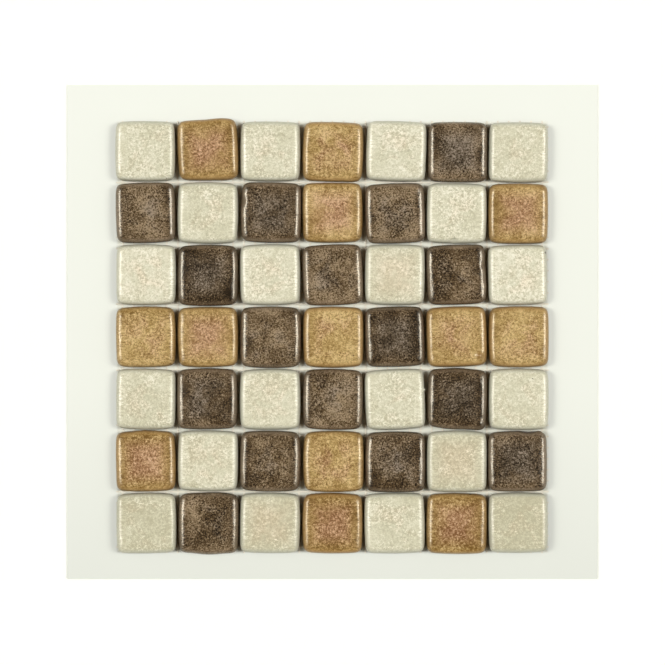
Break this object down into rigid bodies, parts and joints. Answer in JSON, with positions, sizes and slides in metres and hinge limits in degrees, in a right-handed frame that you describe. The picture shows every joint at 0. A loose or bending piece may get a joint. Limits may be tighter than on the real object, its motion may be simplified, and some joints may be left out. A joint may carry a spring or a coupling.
{
  "type": "mosaic tile sheet",
  "caption": "Square sheet of small glazed ceramic mosaic tiles with cushion edges, set in even rows on an open backing net, to be bedded on a wall or floor and grouted.",
  "frame": {"origin": "centre of the sheet, on the underside of the backing net", "axes": "+X along a row of tiles, +Y up the columns towards the first row, +Z out of the glazed face"},
  "size_m": [0.188, 0.1885, 0.006],
  "materials": {
    "glaze_cream": "gloss",
    "glaze_tan": "gloss",
    "glaze_brown": "gloss",
    "net_yarn": "matte"
  },
  "bodies": {
    "root": {"tile_r1_c1_cream": "glaze_cream", "tile_r1_c2_tan": "glaze_tan", "tile_r1_c3_cream": "glaze_cream", "tile_r1_c4_tan": "glaze_tan", "tile_r1_c5_cream": "glaze_cream", "tile_r1_c6_brown": "glaze_brown", "tile_r1_c7_cream": "glaze_cream", "tile_r2_c1_brown": "glaze_brown", "tile_r2_c2_cream": "glaze_cream", "tile_r2_c3_brown": "glaze_brown", "tile_r2_c4_tan": "glaze_tan", "tile_r2_c5_brown": "glaze_brown", "tile_r2_c6_cream": "glaze_cream", "tile_r2_c7_tan": "glaze_tan", "tile_r3_c1_cream": "glaze_cream", "tile_r3_c2_brown": "glaze_brown", "tile_r3_c3_cream": "glaze_cream", "tile_r3_c4_brown": "glaze_brown", "tile_r3_c5_cream": "glaze_cream", "tile_r3_c6_brown": "glaze_brown", "tile_r3_c7_cream": "glaze_cream", "tile_r4_c1_tan": "glaze_tan", "tile_r4_c2_tan": "glaze_tan", "tile_r4_c3_brown": "glaze_brown", "tile_r4_c4_tan": "glaze_tan", "tile_r4_c5_brown": "glaze_brown", "tile_r4_c6_tan": "glaze_tan", "tile_r4_c7_tan": "glaze_tan", "tile_r5_c1_cream": "glaze_cream", "tile_r5_c2_brown": "glaze_brown", "tile_r5_c3_cream": "glaze_cream", "tile_r5_c4_brown": "glaze_brown", "tile_r5_c5_cream": "glaze_cream", "tile_r5_c6_brown": "glaze_brown", "tile_r5_c7_cream": "glaze_cream", "tile_r6_c1_tan": "glaze_tan", "tile_r6_c2_cream": "glaze_cream", "tile_r6_c3_brown": "glaze_brown", "tile_r6_c4_tan": "glaze_tan", "tile_r6_c5_brown": "glaze_brown", "tile_r6_c6_cream": "glaze_cream", "tile_r6_c7_brown": "glaze_brown", "tile_r7_c1_cream": "glaze_cream", "tile_r7_c2_brown": "glaze_brown", "tile_r7_c3_cream": "glaze_cream", "tile_r7_c4_tan": "glaze_tan", "tile_r7_c5_cream": "glaze_cream", "tile_r7_c6_tan": "glaze_tan", "tile_r7_c7_cream": "glaze_cream", "net_warp_yarns": "net_yarn", "net_weft_yarns": "net_yarn"}
  },
  "joints": []
}
